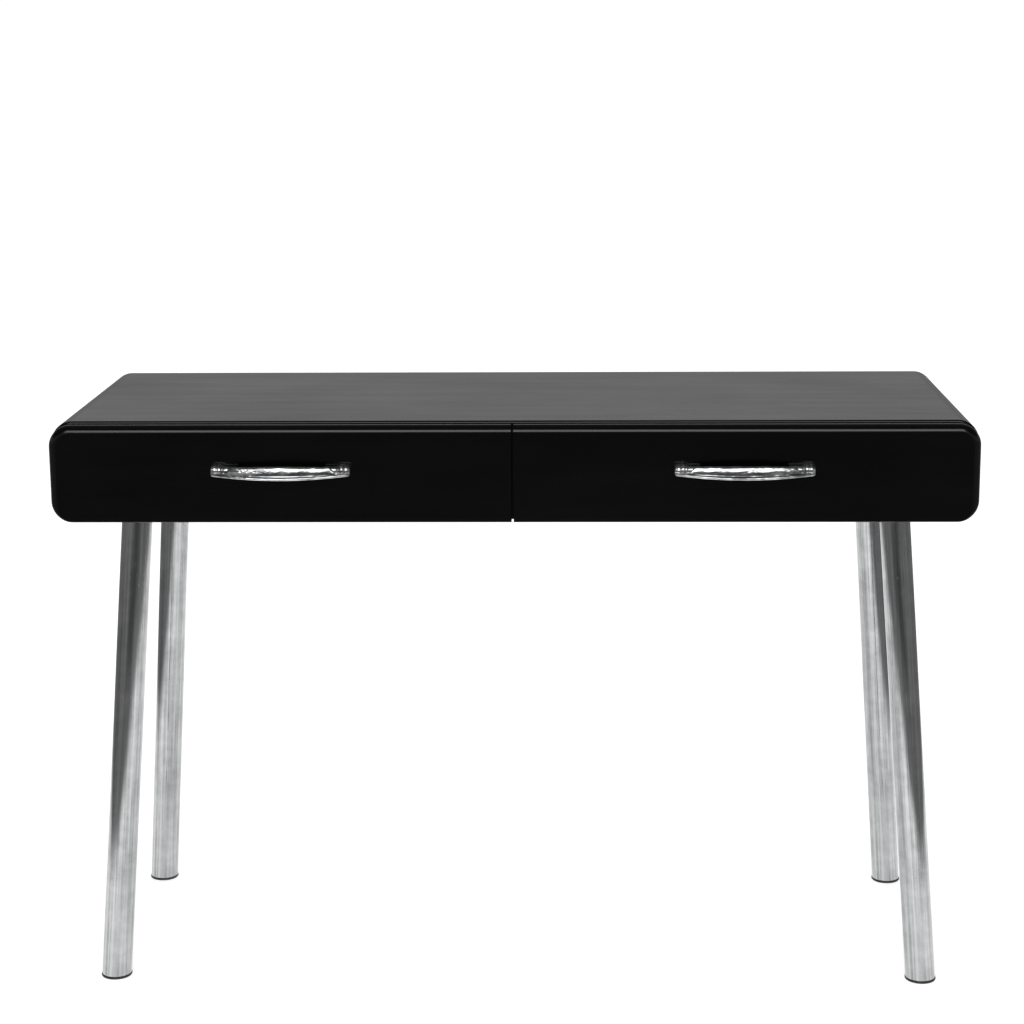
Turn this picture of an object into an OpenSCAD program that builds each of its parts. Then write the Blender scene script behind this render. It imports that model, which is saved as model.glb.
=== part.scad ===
// Writing desk with two drawers on four splayed tube legs. All sizes are in millimetres.
// Origin on the floor, under the middle of the overall box. +X is right, +Y is back, +Z is up.
// The right-hand pieces are drawn, and the left-hand ones are their mirror images.

/* [Desk] */
// Width of the case
desk_w = 1200; // [900:10:1600]
// Depth from the drawer faces to the back of the case
desk_d = 450; // [370:5:650]
// Height of the top surface above the floor
desk_h = 770; // [600:5:950]
// Height of the case that holds the drawers
body_h = 130; // [108:1:200]

/* [Case] */
// Thickness of the top, bottom and side panels
panel_t = 18; // [15:0.5:22]
// Outer radius of the four long corners
corner_r = 28; // [24:1:45]
// Thickness of the middle panel between the drawers
divider_t = 18; // [18:1:25]
// Thickness of the back panel
back_t = 9; // [6:1:12]
// Width of the lip left outside the back panel's rebate
back_lip = 9; // [7:0.5:12]

/* [Drawer fronts] */
// Thickness of each drawer front
front_t = 22; // [18:1:28]
// Gap between the two drawer fronts
front_gap = 3; // [2:0.5:6]
// Gap between the closed fronts and the case
front_clear = 2; // [1:0.5:4]
// Roundover along the outside of the fronts
front_round = 8; // [3:1:10]

/* [Drawer boxes] */
// Thickness of the drawer sides and back
side_t = 12; // [10:1:16]
// Thickness of the drawer bottom
bottom_t = 4; // [3:0.5:6]
// Height of the drawer bottom above the lower edge of the sides
bottom_rise = 10; // [6:1:14]
// Depth of the grooves that hold the drawer bottom
groove_d = 5; // [3:0.5:7]
// Free height under the drawer box
box_lift = 12; // [8:1:20]
// Free height over the drawer box
box_top_clear = 12; // [6:1:30]
// Free depth behind the drawer box
box_back_clear = 19; // [10:1:40]

/* [Rails and slides] */
// Width left for the rail and slide beside each drawer side
rail_gap = 12.5; // [12:0.5:14]
// Thickness of the rail and slide steel
steel_t = 1.2; // [1:0.1:1.5]
// Radius of the nylon rollers
roller_r = 8.5; // [7:0.5:10]
// Width of the nylon rollers
roller_w = 6; // [5:0.5:6.5]
// Radius of the roller pins
pin_r = 2.5; // [2:0.1:3]
// Length of slide that stays in the case when a drawer is fully open
slide_hold = 98; // [80:1:160]
// Height of the drawer side's lower edge below the slide's running flange
flange_rise = 18.5; // [17:0.5:24]
// Height of the stop that ends the drawer's travel
stop_h = 4; // [3:0.5:6]

/* [Handles] */
// Overall width of a handle
handle_w = 182; // [120:1:260]
// Distance between a handle's two screws
handle_pitch = 160; // [96:1:224]
// How far a handle stands out from the drawer face
handle_out = 28; // [22:1:40]
// How far the bow stands in front of its own ends
bow_rise = 15; // [8:1:20]
// Thickness of the bow
bow_t = 7; // [5:0.5:10]
// Height of the bow at its ends
bow_end_h = 12.5; // [8:0.5:16]
// How much the bow's top edge rises to the middle
bow_top_rise = 2.5; // [0:0.5:6]
// How much the bow's bottom edge drops to the middle
bow_drop = 6; // [0:0.5:10]
// Radius of the bow's rounded front surface
bow_crown_r = 16; // [13:1:30]
// Height of a handle's end post
post_h = 16.5; // [12:0.5:24]
// How far the end posts stand out from the drawer face
post_out = 16; // [12:1:20]
// Height of the handle screws above the middle of the drawer front
handle_raise = 5; // [-10:1:20]
// How far a handle sits towards the middle of the desk from the centre of its front
handle_nudge = 3; // [0:1:20]

/* [Legs] */
// Outside diameter of the leg tubes
leg_dia = 40; // [30:1:50]
// Wall of the leg tubes
leg_wall = 1.5; // [1:0.1:3]
// Distance from the desk's side to the leg's axis at the underside
leg_inset_x = 100; // [75:1:200]
// Distance from the drawer face, or from the back, to the leg's axis at the underside
leg_inset_y = 72; // [70:1:120]
// How far a foot stands out sideways from the top of its leg
splay_x = 48; // [0:1:70]
// How far a foot stands out to the front or back from the top of its leg
splay_y = 36; // [0:1:60]
// Thickness of the mounting plates
plate_t = 3; // [2:0.5:5]
// Width of the square mounting plates
plate_w = 86; // [80:1:110]
// Visible height of the foot glides
glide_h = 4; // [3:0.5:10]
// Length of the plugs inside the tube ends
plug_len = 24; // [15:1:40]

/* [Fasteners] */
// Shank radius of the wood screws
screw_r = 1.75; // [1.5:0.05:2.25]
// Head radius of the wood screws
screw_head_r = 3.5; // [3:0.1:4]
// Head height of the wood screws
screw_head_h = 1.6; // [1.2:0.1:1.8]
// Length of the leg plate and back panel screws
screw_len = 16; // [12:1:18]
// Length of the rail and slide screws
short_screw_len = 9.5; // [8:0.5:10]
// Radius of the handle screws
handle_screw_r = 2; // [1.5:0.1:2.5]
// Radius of the cam fittings in the drawer sides
cam_r = 7.5; // [6:0.5:8]
// Depth of the cam fittings
cam_d = 9; // [8:0.5:9.5]
// Radius of the leg studs
stud_r = 5; // [4:0.5:6]

/* [Clearances] */
// Radial running clearance of a roller on its pin
run_clear = 0.05; // [0.02:0.01:0.08]
// Radial clearance of the plugs inside the leg tubes
plug_clear = 0.05; // [0.02:0.01:0.1]
// Radial clearance of a screw in a hole it passes through
hole_clear = 0.25; // [0.1:0.05:0.5]
// Clearance of the drawer bottom in the height of its groove
groove_clear = 0.2; // [0.1:0.1:0.5]
// Free play between a moving piece of a runner and its neighbour
slide_clear = 0.5; // [0.3:0.1:0.8]
// Gap left between a roller and the steel that it runs on
roll_clear = 0.1; // [0.05:0.05:0.2]

/* [Hidden] */
$fn = 64;

// Colours
lacquer = [0.03, 0.03, 0.035];
foil = [0.16, 0.16, 0.17];
chrome = [0.80, 0.81, 0.83];
zinc = [0.62, 0.64, 0.66];
rail_white = [0.86, 0.86, 0.83];
nylon = [0.93, 0.92, 0.88];
black_plastic = [0.05, 0.05, 0.05];

// Planes of the desk
half_w = desk_w / 2;
back_y = (desk_d + handle_out) / 2;
face_y = back_y - desk_d;
front_rear_y = face_y + front_t;
case_y = front_rear_y + front_clear;
case_back_y = back_y - back_t;
under_z = desk_h - body_h;
mid_z = under_z + body_h / 2;
inside_x = half_w - panel_t;
floor_z = under_z + panel_t;
ceiling_z = desk_h - panel_t;
over = 1;

// Drawer box of the right-hand drawer
box_x0 = divider_t / 2 + rail_gap;
box_x1 = inside_x - rail_gap;
box_z0 = floor_z + box_lift;
box_z1 = ceiling_z - box_top_clear;
box_y1 = case_back_y - box_back_clear;
bottom_z = box_z0 + bottom_rise;
bottom_top_z = bottom_z + bottom_t;

// Cam fittings, one in each drawer side
cam_z = (bottom_top_z + box_z1) / 2;
cam_y = front_rear_y + 24;
cam_rod_r = 2.5;
cam_rod_in = 10;

// Handle of the right-hand drawer
handle_x = (front_gap / 2 + half_w) / 2 - handle_nudge;
handle_z = mid_z + handle_raise;
handle_y = face_y - handle_out;
bow_half = handle_pitch / 2;
bow_r = (pow(bow_half, 2) + pow(bow_rise, 2)) / (2 * bow_rise);
bow_angle = asin(bow_half / bow_r);
bow_mid_z = (bow_top_rise - bow_drop) / 2;
bow_mid_h = bow_end_h + bow_top_rise + bow_drop;
bow_steps = 12;
post_w = handle_w - handle_pitch;
handle_screw_in = 9;
handle_screw_head_r = 4;
handle_screw_head_h = 2.5;

// Rails and slides, along Y
rail_y0 = case_y + 2;
rail_y1 = box_y1 - 2;
rail_roller_y = rail_y0 + roller_r + 3.5;
slide_y0 = front_rear_y;
slide_y1 = box_y1 - 2;
slide_roller_y = slide_y1 - roller_r - 1.5;
travel = slide_y1 - slide_y0 - slide_hold;
stop_reach = sqrt(pow(roller_r, 2) - pow(roller_r - stop_h, 2));
stop_y1 = slide_roller_y - travel - stop_reach - slide_clear;
stop_len = 5;

// Rails and slides, in height
flange_z = box_z0 + flange_rise;
rail_roller_z = flange_z - roll_clear - roller_r;
slide_roller_z = rail_roller_z - slide_clear;
track_z = slide_roller_z - roller_r - roll_clear;
rail_top_z = flange_z + steel_t + 2 * slide_clear;

// Rails and slides, as the distance u from the wall that carries the rail
roller_u = 4;
track_u = rail_gap - 3;
flange_u = 3.5;
web_u = rail_gap - steel_t;
head_t = 0.7;
head_play = 0.2;
rail_head_u = roller_u + roller_w + head_play;
slide_head_u = roller_u - head_play - head_t;
pin_head_r = pin_r + 1.5;
ledge_w = 10;
rail_screw_ys = [rail_y0 + 35, (rail_y0 + rail_y1) / 2, rail_y1 - 30];
slide_screw_ys = [slide_y0 + 40, (slide_y0 + slide_y1) / 2, slide_y1 - 45];

// Legs
leg_r = leg_dia / 2;
bore_r = leg_r - leg_wall;
leg_x = half_w - leg_inset_x;
leg_front_y = face_y + leg_inset_y;
leg_back_y = back_y - leg_inset_y;
leg_len = sqrt(pow(splay_x, 2) + pow(splay_y, 2) + pow(under_z, 2));
leg_top_z = under_z - plate_t;
boss_r = stud_r + 3;
boss_h = 12;
pocket_r = boss_r + 5;
pocket_h = boss_h + 2;
plate_corner_r = 8;
plate_hole = plate_w / 2 - 10;
sink_h = 2;

// Back panel screws
back_screw_inset = (back_lip + panel_t) / 2;
back_screw_x = half_w - back_screw_inset;
back_screw_cols = 6;
back_screw_step = 2 * (half_w - corner_r) / (back_screw_cols - 1);

// Mirrors its children to the left-hand side when side is -1.
module on_side(side) {
    mirror([side < 0 ? 1 : 0, 0, 0]) children();
}

// A block between two opposite corners.
module block(low, high) {
    translate(low) cube(high - low);
}

// A square with round corners, centred on the origin.
module round_square(w, h, r) {
    square([w - 2 * r, h], center = true);
    square([w, h - 2 * r], center = true);
    for (x = [-1, 1], z = [-1, 1])
        translate([x * (w / 2 - r), z * (h / 2 - r)]) circle(r);
}

// Extrudes an outline drawn in X and Z from the plane y0 back to the plane y1.
module along_y(y0, y1) {
    translate([0, y1, 0]) rotate([90, 0, 0]) linear_extrude(y1 - y0) children();
}

// A cylinder along X, from x0 to x1.
module rod_x(r, x0, x1) {
    translate([x0, 0, 0]) rotate([0, 90, 0]) cylinder(r = r, h = x1 - x0);
}

// A cylinder along Y, from y0 to y1.
module rod_y(r, y0, y1) {
    translate([0, y1, 0]) rotate([90, 0, 0]) cylinder(r = r, h = y1 - y0);
}

// A pan-head wood screw: the head's underside is at z = 0 and the shank points down.
module wood_screw(len) {
    cylinder(r = screw_head_r, h = screw_head_h);
    translate([0, 0, -len]) cylinder(r = screw_r, h = len + screw_head_h / 2);
}

// A countersunk wood screw: its head is flush at z = 0 and the shank points down.
module sunk_screw() {
    translate([0, 0, -sink_h]) cylinder(r1 = screw_r, r2 = screw_head_r, h = sink_h);
    translate([0, 0, -screw_len]) cylinder(r = screw_r, h = screw_len);
}

// A hole along a wood screw's shank, wider than the shank by clear.
module screw_hole(len, clear) {
    translate([0, 0, -len]) cylinder(r = screw_r + clear, h = len + over);
}

// ---------------------------------------------------------------- case

// Places its children at each back panel screw, head to the back.
module at_back_screws() {
    for (i = [0:back_screw_cols - 1], z = [under_z + back_screw_inset, desk_h - back_screw_inset])
        translate([corner_r - half_w + i * back_screw_step, back_y, z])
            rotate([-90, 0, 0]) children();
    for (x = [-back_screw_x, back_screw_x])
        translate([x, back_y, mid_z]) rotate([-90, 0, 0]) children();
}

// The back panel's outline, from the rebate's shoulder to the plane y1.
module back_space(y1) {
    translate([0, 0, mid_z]) along_y(case_back_y, y1)
        round_square(desk_w - 2 * back_lip, body_h - 2 * back_lip, corner_r - back_lip);
}

// Cuts the back rebate and the back screws' pilot holes out of a case piece.
module rebated() {
    difference() {
        children();
        back_space(back_y + over);
        at_back_screws() screw_hole(screw_len, 0);
    }
}

module top_panel() {
    color(lacquer) rebated()
        block([corner_r - half_w, case_y, ceiling_z], [half_w - corner_r, back_y, desk_h]);
}

module bottom_panel() {
    color(lacquer) rebated() difference() {
        block([corner_r - half_w, case_y, under_z], [half_w - corner_r, back_y, floor_z]);
        for (x = [-1, 1], y = [-1, 1]) {
            at_leg(x, y) translate([0, 0, -over]) cylinder(r = pocket_r, h = pocket_h + over);
            at_leg(x, y) at_plate_holes() screw_hole(screw_len, 0);
        }
    }
}

module side_panel(side) {
    color(lacquer) on_side(side) rebated() difference() {
        block([inside_x, case_y, under_z + corner_r], [half_w, back_y, desk_h - corner_r]);
        from_wall(true) at_rail_screws() screw_hole(short_screw_len, 0);
    }
}

// A long quarter-round rail that joins a side panel to the top (up = 1) or the bottom (up = -1).
module corner_rail(side, up) {
    color(lacquer) on_side(side) rebated()
        translate([half_w - corner_r, 0, mid_z + up * (body_h / 2 - corner_r)])
            mirror([0, 0, up < 0 ? 1 : 0]) along_y(case_y, back_y) intersection() {
                difference() {
                    circle(corner_r);
                    circle(corner_r - panel_t);
                }
                square(corner_r);
            }
}

module centre_divider() {
    color(lacquer) difference() {
        block([-divider_t / 2, case_y, floor_z], [divider_t / 2, case_back_y, ceiling_z]);
        for (side = [-1, 1])
            on_side(side) from_wall(false) at_rail_screws() screw_hole(short_screw_len, 0);
    }
}

module back_panel() {
    color(lacquer) difference() {
        back_space(back_y);
        at_back_screws() sunk_screw();
    }
}

module back_panel_screws() {
    color(zinc) at_back_screws() sunk_screw();
}

// ---------------------------------------------------------------- rails

// Turns u, the distance out of a rail's wall, into x. The wall is the side panel when outer is
// true, or else the divider.
module from_wall(outer) {
    translate([outer ? inside_x : divider_t / 2, 0, 0]) mirror([outer ? 1 : 0, 0, 0]) children();
}

// Places its children at each rail screw, head towards the drawer.
module at_rail_screws() {
    for (y = rail_screw_ys) translate([0, y, rail_roller_z]) rotate([0, 90, 0]) children();
}

// A pin with a flat head, along u.
module roller_pin(u0, u1, head_u, y, z) {
    translate([0, y, z]) rod_x(pin_r, u0, u1);
    translate([0, y, z]) rod_x(pin_head_r, head_u, head_u + head_t);
}

// The channel on the wall: a track below, a keeper flange above and a roller pin at the front.
module rail(side, outer) {
    color(rail_white) on_side(side) from_wall(outer) {
        difference() {
            block([0, rail_y0, track_z - steel_t], [steel_t, rail_y1, rail_top_z + steel_t]);
            translate([steel_t, 0, 0]) at_rail_screws() screw_hole(short_screw_len, hole_clear);
        }
        block([0, rail_y0, track_z - steel_t], [track_u, rail_y1, track_z]);
        block([0, rail_roller_y + 2 * roller_r, rail_top_z], [track_u, rail_y1, rail_top_z + steel_t]);
        block([flange_u, stop_y1 - stop_len, track_z - steel_t], [track_u, stop_y1, track_z + stop_h]);
        roller_pin(0, rail_head_u + head_t, rail_head_u, rail_roller_y, rail_roller_z);
    }
}

// Screws through every rail: three in each side panel and three in each face of the divider.
module rail_screws() {
    color(zinc) for (side = [-1, 1], outer = [true, false]) on_side(side) from_wall(outer)
        translate([steel_t, 0, 0]) at_rail_screws() wood_screw(short_screw_len);
}

// A nylon roller on its pin.
module roller(y, z) {
    translate([0, y, z]) difference() {
        rod_x(roller_r, roller_u, roller_u + roller_w);
        rod_x(pin_r + run_clear, roller_u - over, roller_u + roller_w + over);
    }
}

module rail_roller(side, outer) {
    color(nylon) on_side(side) from_wall(outer) roller(rail_roller_y, rail_roller_z);
}

// ---------------------------------------------------------------- legs

// Moves its children to the top of a leg: x = -1 is left, and y = -1 is the front.
module at_leg(x, y) {
    translate([x * leg_x, y < 0 ? leg_front_y : leg_back_y, under_z]) children();
}

// Turns +Z to point down a leg's axis, from the underside of the case.
module down_leg(x, y) {
    at_leg(x, y) rotate([0, acos(-under_z / leg_len), atan2(y * splay_y, x * splay_x)]) children();
}

// Places its children at the four screw holes of a leg plate, head down on the plate's lower face.
module at_plate_holes() {
    for (x = [-1, 1], y = [-1, 1])
        translate([x * plate_hole, y * plate_hole, -plate_t]) rotate([180, 0, 0]) children();
}

// All the space between two heights.
module slab(z0, z1) {
    block([-desk_w, -desk_d, z0], [desk_w, desk_d, z1]);
}

// The mounting plate under the case, with a threaded boss along the leg's axis.
module leg_plate(x, y) {
    color(zinc) difference() {
        union() {
            at_leg(x, y) translate([0, 0, -plate_t]) linear_extrude(plate_t)
                round_square(plate_w, plate_w, plate_corner_r);
            intersection() {
                down_leg(x, y) translate([0, 0, -boss_h]) cylinder(r = boss_r, h = boss_h + plate_t);
                slab(under_z - plate_t / 2, desk_h);
            }
        }
        at_leg(x, y) at_plate_holes() sunk_screw();
        down_leg(x, y) translate([0, 0, -boss_h - over]) cylinder(r = stud_r, h = 3 * boss_h);
    }
}

module leg_plate_screws() {
    color(zinc) for (x = [-1, 1], y = [-1, 1]) at_leg(x, y) at_plate_holes() sunk_screw();
}

// The tube, cut level at the plate and at the foot glide.
module leg(x, y) {
    color(chrome) intersection() {
        down_leg(x, y) difference() {
            translate([0, 0, -leg_r]) cylinder(r = leg_r, h = leg_len + leg_dia);
            translate([0, 0, -leg_dia]) cylinder(r = bore_r, h = leg_len + 2 * leg_dia);
        }
        slab(glide_h, leg_top_z);
    }
}

// Threaded studs on plugs pressed into the tube tops: one to each leg.
module leg_stud_inserts() {
    color(zinc) for (x = [-1, 1], y = [-1, 1]) {
        intersection() {
            down_leg(x, y) translate([0, 0, -leg_r])
                cylinder(r = bore_r - plug_clear, h = leg_r + plug_len);
            slab(0, leg_top_z);
        }
        down_leg(x, y) translate([0, 0, -boss_h]) cylinder(r = stud_r, h = boss_h + plug_len);
    }
}

// The glide: a band under the tube's cut end, and a plug inside it.
module foot(x, y) {
    color(black_plastic) {
        intersection() {
            down_leg(x, y) translate([0, 0, leg_len - leg_dia]) cylinder(r = leg_r, h = 2 * leg_dia);
            slab(0, glide_h);
        }
        intersection() {
            down_leg(x, y) translate([0, 0, leg_len - glide_h - plug_len])
                cylinder(r = bore_r - plug_clear, h = plug_len + leg_r);
            slab(glide_h / 2, under_z);
        }
    }
}

// ---------------------------------------------------------------- drawers

// Section through a front's rounded edge: u runs in from the outline, and v back from the face.
module edge_section() {
    difference() {
        square([corner_r, front_t]);
        difference() {
            square(front_round);
            translate([front_round, front_round]) circle(front_round);
        }
    }
}

// The top half of a front's solid, above the middle of its height. The seam edge is square.
module front_half() {
    flat_z = body_h / 2 - corner_r;
    flat_x = half_w - corner_r;
    block([front_gap / 2, 0, 0], [flat_x, front_t, flat_z]);
    translate([front_gap / 2, 0, body_h / 2]) rotate([90, 90, 90])
        linear_extrude(flat_x - front_gap / 2) edge_section();
    translate([half_w, 0, 0]) mirror([1, 0, 0]) linear_extrude(flat_z) edge_section();
    translate([flat_x, 0, flat_z]) rotate([-90, 0, 0]) rotate([0, 0, -90]) rotate_extrude(angle = 90)
        translate([corner_r, 0]) mirror([1, 0]) edge_section();
}

module drawer_front(side) {
    color(lacquer) on_side(side) difference() {
        translate([0, face_y, mid_z]) {
            front_half();
            mirror([0, 0, 1]) front_half();
        }
        at_handle_screws() rod_y(handle_screw_r + hole_clear, -front_t - over, over);
        at_cams() rod_y(cam_rod_r, -cam_rod_in, over);
        bottom_space(groove_clear);
    }
}

// Places its children at the two handle screws, on the rear face of the drawer front.
module at_handle_screws() {
    for (x = [-bow_half, bow_half]) translate([handle_x + x, front_rear_y, handle_z]) children();
}

// Places its children at the middle of each drawer side, on the rear face of the drawer front.
module at_cams() {
    for (x = [box_x0 + side_t / 2, box_x1 - side_t / 2])
        translate([x, front_rear_y, cam_z]) children();
}

// The drawer bottom's space, higher than the bottom by clear.
module bottom_space(clear) {
    block([box_x0 + side_t - groove_d, front_rear_y - groove_d, bottom_z],
        [box_x1 - side_t + groove_d, box_y1, bottom_top_z + clear]);
}

// A cam and its rod in a drawer side, seen from the side's middle: the cam opens towards +X.
module cam_fitting() {
    rod_y(cam_rod_r, -cam_rod_in, cam_y - front_rear_y);
    translate([0, cam_y - front_rear_y, 0]) rod_x(cam_r, side_t / 2 - cam_d, side_t / 2);
}

// A drawer side: outer is the one beside the side panel.
module drawer_side(side, outer) {
    x0 = outer ? box_x1 - side_t : box_x0;
    color(foil) on_side(side) difference() {
        block([x0, front_rear_y, box_z0], [x0 + side_t, box_y1, box_z1]);
        bottom_space(groove_clear);
        translate([x0 + side_t / 2, front_rear_y, cam_z]) mirror([outer ? 1 : 0, 0, 0]) cam_fitting();
        from_wall(outer) at_slide_screws() screw_hole(short_screw_len, 0);
    }
}

module drawer_back(side) {
    color(foil) on_side(side)
        block([box_x0 + side_t, box_y1 - side_t, bottom_top_z], [box_x1 - side_t, box_y1, box_z1]);
}

module drawer_bottom(side) {
    color(foil) on_side(side) bottom_space(0);
}

module front_cams(side) {
    color(zinc) on_side(side) {
        translate([box_x0 + side_t / 2, front_rear_y, cam_z]) cam_fitting();
        translate([box_x1 - side_t / 2, front_rear_y, cam_z]) mirror([1, 0, 0]) cam_fitting();
    }
}

// A bow between two posts. The bow is deepest and tallest in the middle.
module handle(side) {
    color(chrome) on_side(side) difference() {
        union() {
            translate([handle_x, 0, handle_z]) intersection() {
                bow_ring();
                along_y(handle_y - over, face_y) bow_outline();
            }
            for (x = [-bow_half, bow_half]) translate([handle_x + x, 0, handle_z])
                along_y(face_y - post_out, face_y)
                    round_square(post_w, post_h, post_h / 2 - 0.5);
        }
        at_handle_screws() rod_y(handle_screw_r, -front_t - handle_screw_in, over);
    }
}

// The bow's section, rounded in front, swept along its arc.
module bow_ring() {
    translate([0, handle_y + bow_r, bow_mid_z]) rotate([0, 0, -90 - bow_angle])
        rotate_extrude(angle = 2 * bow_angle, $fn = 360) intersection() {
            translate([bow_r - bow_t, -bow_mid_h / 2]) square([bow_t, bow_mid_h]);
            translate([bow_r - bow_crown_r, 0]) circle(bow_crown_r);
        }
}

// The bow seen from the front: it curves a little above and more below.
module bow_outline() {
    shares = [for (i = [-bow_steps:bow_steps]) i / bow_steps];
    polygon(concat(
        [for (s = shares) [s * bow_half, bow_end_h / 2 + bow_top_rise * (1 - s * s)]],
        [for (s = shares) [-s * bow_half, -bow_end_h / 2 - bow_drop * (1 - s * s)]]
    ));
}

// Machine screws from inside the drawer, through its front and into the posts.
module handle_screws(side) {
    color(zinc) on_side(side) at_handle_screws() {
        rod_y(handle_screw_r, -front_t - handle_screw_in, handle_screw_head_h / 2);
        rod_y(handle_screw_head_r, 0, handle_screw_head_h);
    }
}

// ---------------------------------------------------------------- slides

// Places its children at each slide screw, under the ledge that carries the drawer side.
module at_slide_screws() {
    for (y = slide_screw_ys)
        translate([rail_gap + side_t / 2, y, box_z0 - steel_t]) rotate([180, 0, 0]) children();
}

// The angle under a drawer side: a ledge, a web and a flange that runs on the rail's roller.
module slide(side, outer) {
    color(rail_white) on_side(side) from_wall(outer) {
        block([web_u, slide_y0, box_z0 - steel_t], [rail_gap, slide_y1, flange_z + steel_t]);
        block([flange_u, slide_y0, flange_z], [rail_gap, slide_y1, flange_z + steel_t]);
        difference() {
            block([web_u, slide_y0, box_z0 - steel_t], [rail_gap + ledge_w, slide_y1, box_z0]);
            at_slide_screws() screw_hole(short_screw_len, hole_clear);
        }
        roller_pin(slide_head_u, rail_gap, slide_head_u, slide_roller_y, slide_roller_z);
    }
}

module slide_screws(side) {
    color(zinc) for (outer = [true, false])
        on_side(side) from_wall(outer) at_slide_screws() wood_screw(short_screw_len);
}

module slide_roller(side, outer) {
    color(nylon) on_side(side) from_wall(outer) roller(slide_roller_y, slide_roller_z);
}

// ---------------------------------------------------------------- nodes

top_panel();
bottom_panel();
side_panel(-1);  // left_side_panel
side_panel(1);  // right_side_panel
corner_rail(-1, 1);  // top_left_corner
corner_rail(1, 1);  // top_right_corner
corner_rail(-1, -1);  // bottom_left_corner
corner_rail(1, -1);  // bottom_right_corner
centre_divider();
back_panel();
back_panel_screws();
rail(-1, true);  // left_outer_rail
rail_roller(-1, true);  // left_outer_rail_roller
rail(-1, false);  // left_inner_rail
rail_roller(-1, false);  // left_inner_rail_roller
rail(1, true);  // right_outer_rail
rail_roller(1, true);  // right_outer_rail_roller
rail(1, false);  // right_inner_rail
rail_roller(1, false);  // right_inner_rail_roller
rail_screws();
leg_plate(-1, -1);  // front_left_leg_plate
leg(-1, -1);  // front_left_leg
foot(-1, -1);  // front_left_foot
leg_plate(1, -1);  // front_right_leg_plate
leg(1, -1);  // front_right_leg
foot(1, -1);  // front_right_foot
leg_plate(-1, 1);  // back_left_leg_plate
leg(-1, 1);  // back_left_leg
foot(-1, 1);  // back_left_foot
leg_plate(1, 1);  // back_right_leg_plate
leg(1, 1);  // back_right_leg
foot(1, 1);  // back_right_foot
leg_stud_inserts();
leg_plate_screws();
drawer_front(-1);  // left_drawer_front
drawer_side(-1, true);  // left_drawer_outer_side
drawer_side(-1, false);  // left_drawer_inner_side
drawer_back(-1);  // left_drawer_back
drawer_bottom(-1);  // left_drawer_bottom
handle(-1);  // left_handle
handle_screws(-1);  // left_handle_screws
front_cams(-1);  // left_front_cams
slide(-1, true);  // left_outer_slide
slide_roller(-1, true);  // left_outer_slide_roller
slide(-1, false);  // left_inner_slide
slide_roller(-1, false);  // left_inner_slide_roller
slide_screws(-1);  // left_slide_screws
drawer_front(1);  // right_drawer_front
drawer_side(1, true);  // right_drawer_outer_side
drawer_side(1, false);  // right_drawer_inner_side
drawer_back(1);  // right_drawer_back
drawer_bottom(1);  // right_drawer_bottom
handle(1);  // right_handle
handle_screws(1);  // right_handle_screws
front_cams(1);  // right_front_cams
slide(1, true);  // right_outer_slide
slide_roller(1, true);  // right_outer_slide_roller
slide(1, false);  // right_inner_slide
slide_roller(1, false);  // right_inner_slide_roller
slide_screws(1);  // right_slide_screws
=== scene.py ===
# Writing desk with two drawers on four splayed tube legs: its looks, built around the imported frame.
# Lengths are in metres. +X is right, +Y is back, +Z is up, and the origin is on the floor.
import math

import bmesh
import bpy
from mathutils import Matrix, Vector


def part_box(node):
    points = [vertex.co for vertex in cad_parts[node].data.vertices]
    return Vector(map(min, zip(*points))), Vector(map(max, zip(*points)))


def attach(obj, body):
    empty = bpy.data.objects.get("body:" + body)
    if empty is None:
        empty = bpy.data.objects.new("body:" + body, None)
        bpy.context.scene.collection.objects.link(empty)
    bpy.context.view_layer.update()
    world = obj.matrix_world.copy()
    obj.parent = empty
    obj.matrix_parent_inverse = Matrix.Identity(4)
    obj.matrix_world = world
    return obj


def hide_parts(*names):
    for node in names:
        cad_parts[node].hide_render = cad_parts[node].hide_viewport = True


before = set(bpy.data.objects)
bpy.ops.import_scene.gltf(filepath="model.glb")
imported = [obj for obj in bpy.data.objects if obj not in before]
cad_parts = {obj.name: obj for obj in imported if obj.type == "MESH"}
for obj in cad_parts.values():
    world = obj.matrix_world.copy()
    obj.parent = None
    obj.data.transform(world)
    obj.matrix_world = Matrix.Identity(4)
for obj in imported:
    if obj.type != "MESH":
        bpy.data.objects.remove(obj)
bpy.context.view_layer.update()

SIDES = (("left", -1), ("right", 1))

# ---------------------------------------------------------------- sizes read from the frame

case_low = Vector((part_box("left_side_panel")[0].x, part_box("top_panel")[0].y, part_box("bottom_panel")[0].z))
case_high = Vector((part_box("right_side_panel")[1].x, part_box("top_panel")[1].y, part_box("top_panel")[1].z))
panel_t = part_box("top_panel")[1].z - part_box("top_panel")[0].z
corner_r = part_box("top_right_corner")[1].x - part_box("top_right_corner")[0].x
back_low, back_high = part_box("back_panel")
back_lip = case_high.x - back_high.x
front_low, front_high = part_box("right_drawer_front")
handle_low, handle_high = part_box("right_handle")
glide_top_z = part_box("front_left_leg")[0].z

# ---------------------------------------------------------------- sizes of the finish

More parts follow.
